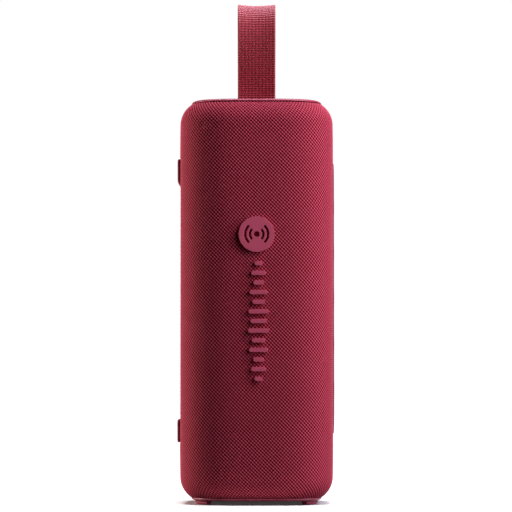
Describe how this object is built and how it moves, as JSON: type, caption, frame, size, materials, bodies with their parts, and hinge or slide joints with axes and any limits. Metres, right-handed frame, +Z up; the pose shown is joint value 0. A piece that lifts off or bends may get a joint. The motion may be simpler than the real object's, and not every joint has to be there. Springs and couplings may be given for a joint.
{
  "type": "portable party speaker",
  "caption": "Tall rounded-square portable speaker wrapped in knitted mesh, with end caps, carry strap, side feet, a side control strip and drivers behind the sleeve.",
  "frame": {"origin": "on the body's axis, level with the bottom of the end feet it stands on", "axes": "+Z up along the body, front (badge) towards -Y, control strip towards +X, side feet towards -X"},
  "size_m": [0.0827, 0.0788, 0.2637],
  "materials": {
    "knit_mesh": "matte knitted mesh, crimson",
    "cap_plastic": "satin moulded plastic, plum red",
    "soft_touch": "soft-touch moulding, dark red",
    "foot_rubber": "matte rubber, dark red",
    "badge_plastic": "satin plastic, dusty red",
    "webbing": "ribbed polyester webbing, crimson",
    "black_plastic": "moulded plastic, black",
    "dark_rubber": "rubber, black",
    "steel": "plated steel",
    "ferrite": "ferrite magnet with steel yoke, dark grey",
    "circuit_board": "green circuit board",
    "cone_pulp": "coated paper cone, black",
    "cell_wrap": "heat-shrink wrap, blue",
    "wire": "insulated wire, red",
    "clear_lens": "clear moulded light guide"
  },
  "bodies": {
    "cabinet": {"badge_disc": "badge_plastic", "badge_motif": "badge_plastic", "baffle_gasket": "dark_rubber", "baffle_screw_lower_left": "steel", "baffle_screw_lower_right": "steel", "baffle_screw_upper_left": "steel", "baffle_screw_upper_right": "steel", "battery_cell_lower": "cell_wrap", "battery_cell_upper": "cell_wrap", "battery_cradle": "black_plastic", "battery_lead": "wire", "bottom_end_cap": "cap_plastic", "button_board": "circuit_board", "button_lead": "wire", "cap_screw_left": "steel", "cap_screw_right": "steel", "control_panel": "soft_touch", "end_foot_left": "foot_rubber", "end_foot_right": "foot_rubber", "fabric_sleeve": "knit_mesh", "front_baffle": "black_plastic", "grille_front": "black_plastic", "grille_rear": "black_plastic", "lower_driver_frame": "steel", "lower_driver_lead": "wire", "lower_driver_magnet": "ferrite", "lower_driver_surround": "dark_rubber", "main_board": "circuit_board", "pair_switch": "steel", "play_switch": "steel", "port_bay": "soft_touch", "power_switch": "steel", "radiator_frame": "black_plastic", "radiator_surround": "dark_rubber", "rear_tub": "black_plastic", "side_foot_lower": "foot_rubber", "side_foot_plate": "cap_plastic", "side_foot_upper": "foot_rubber", "status_led_lens": "clear_lens", "strap_bar": "steel", "top_end_cap": "cap_plastic", "upper_driver_frame": "steel", "upper_driver_lead": "wire", "upper_driver_magnet": "ferrite", "upper_driver_surround": "dark_rubber", "usb_c_connector": "steel", "volume_down_switch": "steel", "volume_up_switch": "steel"},
    "strap": {"carry_strap": "webbing"},
    "port_flap": {"port_cover": "soft_touch"},
    "radiator": {"radiator_plate": "steel"},
    "lower_cone": {"lower_driver_cone": "cone_pulp"},
    "upper_cone": {"upper_driver_cone": "cone_pulp"},
    "power_key": {"power_button": "soft_touch"},
    "pair_key": {"pair_button": "soft_touch"},
    "volume_down_key": {"volume_down_button": "soft_touch"},
    "play_key": {"play_button": "soft_touch"},
    "volume_up_key": {"volume_up_button": "soft_touch"}
  },
  "joints": [
    {"name": "strap_swing", "type": "hinge", "parent": "cabinet", "child": "strap", "pos_m": [0, 0, 0.2079], "axis": [1, 0, 0], "range_deg": [-50, 50], "stiffness_Nm_per_rad": 0.03},
    {"name": "port_cover_swing", "type": "hinge", "parent": "cabinet", "child": "port_flap", "pos_m": [0, 0.0382, 0.0246], "axis": [-1, 0, 0], "range_deg": [0, 100]},
    {"name": "power_press", "type": "slide", "parent": "cabinet", "child": "power_key", "axis": [-1, 0, 0], "range_m": [0, 0.0006], "stiffness_N_per_m": 900},
    {"name": "pair_press", "type": "slide", "parent": "cabinet", "child": "pair_key", "axis": [-1, 0, 0], "range_m": [0, 0.0006], "stiffness_N_per_m": 900},
    {"name": "volume_down_press", "type": "slide", "parent": "cabinet", "child": "volume_down_key", "axis": [-1, 0, 0], "range_m": [0, 0.0006], "stiffness_N_per_m": 900},
    {"name": "play_press", "type": "slide", "parent": "cabinet", "child": "play_key", "axis": [-1, 0, 0], "range_m": [0, 0.0006], "stiffness_N_per_m": 900},
    {"name": "volume_up_press", "type": "slide", "parent": "cabinet", "child": "volume_up_key", "axis": [-1, 0, 0], "range_m": [0, 0.0006], "stiffness_N_per_m": 900},
    {"name": "lower_cone_travel", "type": "slide", "parent": "cabinet", "child": "lower_cone", "axis": [0, -1, 0], "range_m": [-0.0015, 0.0015], "stiffness_N_per_m": 1500, "deforming": ["lower_driver_surround"]},
    {"name": "upper_cone_travel", "type": "slide", "parent": "cabinet", "child": "upper_cone", "axis": [0, -1, 0], "range_m": [-0.0015, 0.0015], "stiffness_N_per_m": 1500, "deforming": ["upper_driver_surround"]},
    {"name": "radiator_travel", "type": "slide", "parent": "cabinet", "child": "radiator", "axis": [0, 1, 0], "range_m": [-0.0015, 0.0015], "stiffness_N_per_m": 1200, "deforming": ["radiator_surround"]}
  ]
}
